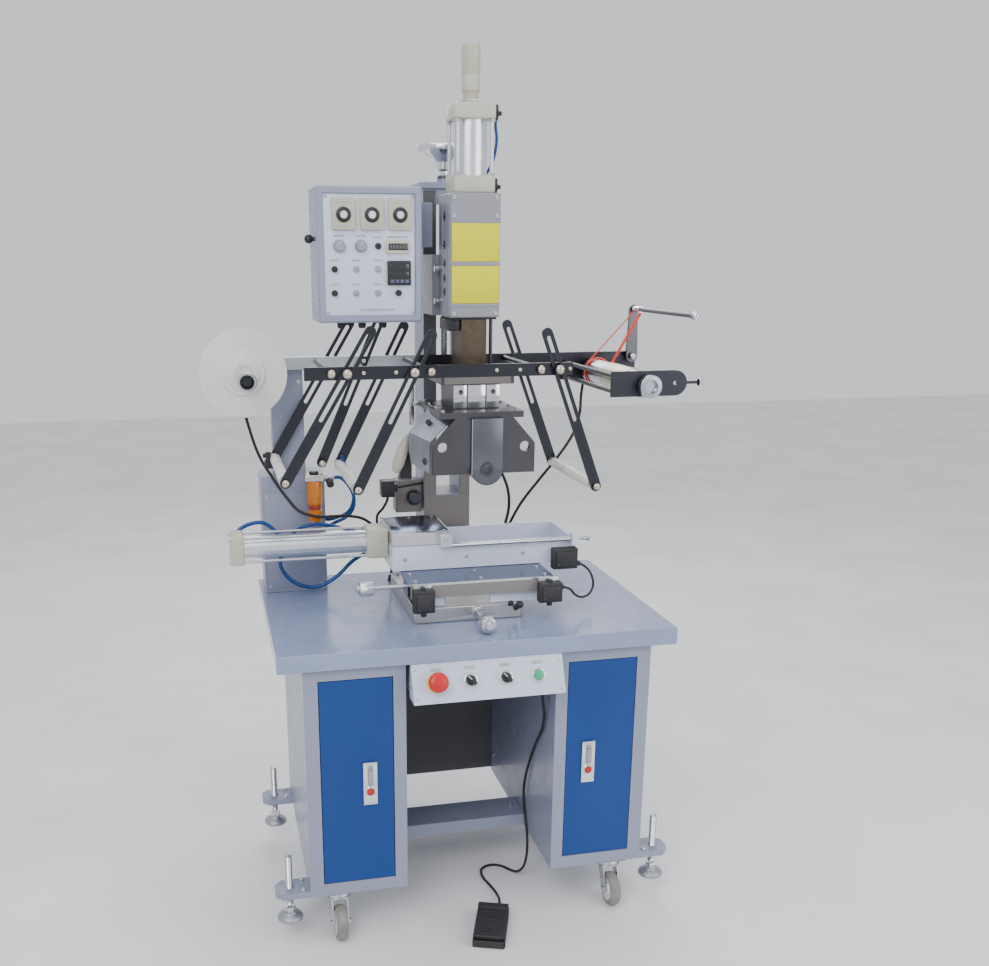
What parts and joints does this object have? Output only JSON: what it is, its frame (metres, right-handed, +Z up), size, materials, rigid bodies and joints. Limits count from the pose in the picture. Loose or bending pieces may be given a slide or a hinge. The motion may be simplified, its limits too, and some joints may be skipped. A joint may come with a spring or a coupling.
{
  "type": "hot foil stamper",
  "caption": "Pneumatic hot foil stamping press with a rubber roller head, foil reels and a sliding work table on a two-door cabinet stand with casters and foot pedal.",
  "frame": {"origin": "on the floor under the middle of the machine's outline, pedal left out", "axes": "+Z up, front with the switches and doors towards -Y, foil runs from -X to +X"},
  "size_m": [1.03, 0.6689, 1.83],
  "materials": {
    "grey_enamel": "smooth light grey machine enamel",
    "table_enamel": "glossy light grey-violet enamel",
    "blue_enamel": "strong blue enamel",
    "dark_enamel": "dull dark grey enamel",
    "panel_enamel": "pale satin enamel",
    "beige_enamel": "beige satin paint",
    "black_oxide": "black oxide on milled steel, semi-gloss",
    "bright_steel": "ground bright steel",
    "machined_aluminium": "machined aluminium, slightly warm",
    "brown_steel": "oiled brown steel",
    "grey_rubber": "grey caster tread",
    "red_rubber": "red-brown silicone rubber sleeve",
    "black_plastic": "black moulded plastic",
    "red_plastic": "red moulded plastic",
    "green_plastic": "green push button",
    "white_plastic": "off-white turned plastic",
    "amber_plastic": "amber filter bowl with metal head",
    "blue_hose": "blue polyurethane air hose"
  },
  "bodies": {
    "machine": {"table_top": "table_enamel", "left_cabinet": "grey_enamel", "right_cabinet": "grey_enamel", "knee_back_panel": "dark_enamel", "cross_beam": "grey_enamel", "switch_panel": "panel_enamel", "column": "grey_enamel", "control_box": "grey_enamel", "valve_cabinet": "grey_enamel", "air_filter_unit": "amber_plastic", "foil_frame": "black_oxide", "xy_base": "machined_aluminium", "pedal_base": "black_plastic", "pedal_cable": "black_plastic"},
    "left_door": {"left_door": "blue_enamel"},
    "right_door": {"right_door": "blue_enamel"},
    "left_latch": {"left_latch_button": "red_plastic"},
    "right_latch": {"right_latch_button": "red_plastic"},
    "e_stop": {"e_stop_button": "red_plastic"},
    "start": {"start_button": "green_plastic"},
    "left_selector": {"left_selector": "black_plastic"},
    "right_selector": {"right_selector": "black_plastic"},
    "treadle": {"pedal_treadle": "black_plastic"},
    "handwheel": {"lift_handwheel": "bright_steel"},
    "head": {"head_housing": "grey_enamel", "press_cylinder": "bright_steel"},
    "adjuster": {"stroke_adjuster": "beige_enamel"},
    "ram": {"ram": "brown_steel", "roller_yoke": "machined_aluminium"},
    "roller": {"stamping_roller": "red_rubber"},
    "outer_arms": {"outer_arm_pair": "black_oxide"},
    "inner_arms": {"inner_arm_pair": "black_oxide"},
    "right_arms": {"right_arm_pair": "black_oxide"},
    "lone_arm": {"rear_arm": "black_oxide"},
    "outer_guide": {"outer_guide_roller": "white_plastic"},
    "inner_guide": {"inner_guide_roller": "white_plastic"},
    "right_guide": {"right_guide_roller": "white_plastic"},
    "reel": {"unwind_reel": "white_plastic"},
    "drum": {"rewind_drum": "bright_steel"},
    "pinch": {"pinch_lever": "bright_steel"},
    "saddle": {"cross_saddle": "machined_aluminium"},
    "x_table": {"x_table_plate": "bright_steel", "slide_housing": "grey_enamel", "air_cylinder": "bright_steel", "slide_hoses": "blue_hose"},
    "carriage": {"work_carriage": "bright_steel"},
    "y_knob": {"y_feed_knob": "bright_steel"},
    "x_knob": {"x_feed_knob": "bright_steel"},
    "front_left_foot": {"front_left_foot": "machined_aluminium"},
    "front_left_fork": {"front_left_caster_fork": "bright_steel"},
    "front_left_wheel": {"front_left_caster_wheel": "grey_rubber"},
    "front_right_foot": {"front_right_foot": "machined_aluminium"},
    "front_right_fork": {"front_right_caster_fork": "bright_steel"},
    "front_right_wheel": {"front_right_caster_wheel": "grey_rubber"},
    "rear_left_foot": {"rear_left_foot": "machined_aluminium"},
    "rear_left_fork": {"rear_left_caster_fork": "bright_steel"},
    "rear_left_wheel": {"rear_left_caster_wheel": "grey_rubber"},
    "rear_right_foot": {"rear_right_foot": "machined_aluminium"},
    "rear_right_fork": {"rear_right_caster_fork": "bright_steel"},
    "rear_right_wheel": {"rear_right_caster_wheel": "grey_rubber"}
  },
  "joints": [
    {"name": "left_door_hinge", "type": "hinge", "parent": "machine", "child": "left_door", "pos_m": [-0.31875, -0.24505, 0.3675], "axis": [0, 0, -1], "range_deg": [0, 110]},
    {"name": "left_latch_push", "type": "slide", "parent": "left_door", "child": "left_latch", "axis": [0, 1, 0], "range_m": [0, 0.003], "stiffness_N_per_m": 400, "springref_m": -0.002},
    {"name": "right_door_hinge", "type": "hinge", "parent": "machine", "child": "right_door", "pos_m": [0.36675, -0.24505, 0.3675], "axis": [0, 0, 1], "range_deg": [0, 110]},
    {"name": "right_latch_push", "type": "slide", "parent": "right_door", "child": "right_latch", "axis": [0, 1, 0], "range_m": [0, 0.003], "stiffness_N_per_m": 400, "springref_m": -0.002},
    {"name": "front_left_foot_screw", "type": "slide", "parent": "machine", "child": "front_left_foot", "axis": [0, 0, 1], "range_m": [-0.046, 0.025]},
    {"name": "front_left_swivel", "type": "hinge", "parent": "machine", "child": "front_left_fork", "pos_m": [-0.286, -0.21155, 0.095], "axis": [0, 0, 1], "continuous": true},
    {"name": "front_left_wheel_spin", "type": "hinge", "parent": "front_left_fork", "child": "front_left_wheel", "pos_m": [-0.286, -0.24155, 0.0375], "axis": [1, 0, 0], "continuous": true},
    {"name": "front_right_foot_screw", "type": "slide", "parent": "machine", "child": "front_right_foot", "axis": [0, 0, 1], "range_m": [-0.046, 0.025]},
    {"name": "front_right_swivel", "type": "hinge", "parent": "machine", "child": "front_right_fork", "pos_m": [0.334, -0.21155, 0.095], "axis": [0, 0, 1], "continuous": true},
    {"name": "front_right_wheel_spin", "type": "hinge", "parent": "front_right_fork", "child": "front_right_wheel", "pos_m": [0.334, -0.24155, 0.0375], "axis": [1, 0, 0], "continuous": true},
    {"name": "rear_left_foot_screw", "type": "slide", "parent": "machine", "child": "rear_left_foot", "axis": [0, 0, 1], "range_m": [-0.046, 0.025]},
    {"name": "rear_left_swivel", "type": "hinge", "parent": "machine", "child": "rear_left_fork", "pos_m": [-0.286, 0.22545, 0.095], "axis": [0, 0, 1], "continuous": true},
    {"name": "rear_left_wheel_spin", "type": "hinge", "parent": "rear_left_fork", "child": "rear_left_wheel", "pos_m": [-0.286, 0.19545, 0.0375], "axis": [1, 0, 0], "continuous": true},
    {"name": "rear_right_foot_screw", "type": "slide", "parent": "machine", "child": "rear_right_foot", "axis": [0, 0, 1], "range_m": [-0.046, 0.025]},
    {"name": "rear_right_swivel", "type": "hinge", "parent": "machine", "child": "rear_right_fork", "pos_m": [0.334, 0.22545, 0.095], "axis": [0, 0, 1], "continuous": true},
    {"name": "rear_right_wheel_spin", "type": "hinge", "parent": "rear_right_fork", "child": "rear_right_wheel", "pos_m": [0.334, 0.19545, 0.0375], "axis": [1, 0, 0], "continuous": true},
    {"name": "e_stop_push", "type": "slide", "parent": "machine", "child": "e_stop", "axis": [0, 0.9077, -0.4197], "range_m": [0, 0.004]},
    {"name": "start_push", "type": "slide", "parent": "machine", "child": "start", "axis": [0, 0.9077, -0.4197], "range_m": [0, 0.003], "stiffness_N_per_m": 400, "springref_m": -0.002},
    {"name": "left_selector_turn", "type": "hinge", "parent": "machine", "child": "left_selector", "pos_m": [-0.009, -0.27505, 0.58885], "axis": [0, 0.9077, -0.4197], "range_deg": [0, 84]},
    {"name": "right_selector_turn", "type": "hinge", "parent": "machine", "child": "right_selector", "pos_m": [0.066, -0.27505, 0.58885], "axis": [0, 0.9077, -0.4197], "range_deg": [0, 84]},
    {"name": "treadle_hinge", "type": "hinge", "parent": "machine", "child": "treadle", "pos_m": [0.05579, -0.24269, 0.0205], "axis": [0.9397, -0.342, 0], "range_deg": [0, 3.5], "stiffness_Nm_per_rad": 3, "springref_deg": -4.58},
    {"name": "handwheel_turn", "type": "hinge", "parent": "machine", "child": "handwheel", "pos_m": [0.0505, 0.24395, 1.6], "axis": [0, 0, 1], "range_deg": [-1441, 1441]},
    {"name": "head_lift", "type": "slide", "parent": "machine", "child": "head", "axis": [0, 0, 1], "range_m": [-0.02, 0.02]},
    {"name": "adjuster_turn", "type": "hinge", "parent": "head", "child": "adjuster", "pos_m": [0.06, 0.04045, 1.78], "axis": [0, 0, 1], "continuous": true},
    {"name": "ram_stroke", "type": "slide", "parent": "head", "child": "ram", "axis": [0, 0, -1], "range_m": [0, 0.075]},
    {"name": "roller_spin", "type": "hinge", "parent": "ram", "child": "roller", "pos_m": [0.07, 0.02045, 0.989], "axis": [0, 1, 0], "continuous": true},
    {"name": "outer_arm_swing", "type": "hinge", "parent": "machine", "child": "outer_arms", "pos_m": [-0.2265, 0.02045, 1.197], "axis": [0, 1, 0], "range_deg": [-8, 8]},
    {"name": "outer_guide_spin", "type": "hinge", "parent": "outer_arms", "child": "outer_guide", "pos_m": [-0.35667, 0.02045, 0.98122], "axis": [0, 1, 0], "continuous": true},
    {"name": "inner_arm_swing", "type": "hinge", "parent": "machine", "child": "inner_arms", "pos_m": [-0.0902, 0.02045, 1.197], "axis": [0, 1, 0], "range_deg": [-8, 3]},
    {"name": "inner_guide_spin", "type": "hinge", "parent": "inner_arms", "child": "inner_guide", "pos_m": [-0.20882, 0.02045, 0.96115], "axis": [0, 1, 0], "continuous": true},
    {"name": "right_arm_swing", "type": "hinge", "parent": "machine", "child": "right_arms", "pos_m": [0.2157, 0.02045, 1.197], "axis": [0, 1, 0], "range_deg": [-8, 8]},
    {"name": "right_guide_spin", "type": "hinge", "parent": "right_arms", "child": "right_guide", "pos_m": [0.30746, 0.02045, 0.94626], "axis": [0, 1, 0], "continuous": true},
    {"name": "lone_arm_swing", "type": "hinge", "parent": "machine", "child": "lone_arm", "pos_m": [-0.151, 0.17595, 1.197], "axis": [0, 1, 0], "range_deg": [-3, 8]},
    {"name": "reel_spin", "type": "hinge", "parent": "machine", "child": "reel", "pos_m": [-0.42, 0.02045, 1.177], "axis": [0, 1, 0], "continuous": true},
    {"name": "drum_spin", "type": "hinge", "parent": "machine", "child": "drum", "pos_m": [0.39, 0.02045, 1.165], "axis": [0, 1, 0], "continuous": true},
    {"name": "pinch_swing", "type": "hinge", "parent": "machine", "child": "pinch", "pos_m": [0.487, 0.16845, 1.196], "axis": [0, -1, 0], "range_deg": [-10, 78]},
    {"name": "y_knob_turn", "type": "hinge", "parent": "machine", "child": "y_knob", "pos_m": [0.044, -0.17955, 0.684], "axis": [0, 1, 0], "range_deg": [-1441, 1441]},
    {"name": "y_slide", "type": "slide", "parent": "machine", "child": "saddle", "axis": [0, 1, 0], "range_m": [-0.008, 0.008]},
    {"name": "x_knob_turn", "type": "hinge", "parent": "saddle", "child": "x_knob", "pos_m": [-0.176, -0.07955, 0.739], "axis": [1, 0, 0], "range_deg": [-1801, 1801]},
    {"name": "x_slide", "type": "slide", "parent": "saddle", "child": "x_table", "axis": [1, 0, 0], "range_m": [-0.01, 0.01]},
    {"name": "carriage_travel", "type": "slide", "parent": "x_table", "child": "carriage", "axis": [1, 0, 0], "range_m": [0, 0.2]}
  ],
  "couplings": [
    {"joint": "handwheel_turn", "follows": "head_lift", "rad_per_m": 1256.6},
    {"joint": "y_knob_turn", "follows": "y_slide", "rad_per_m": 3141.6},
    {"joint": "x_knob_turn", "follows": "x_slide", "rad_per_m": 3141.6}
  ]
}
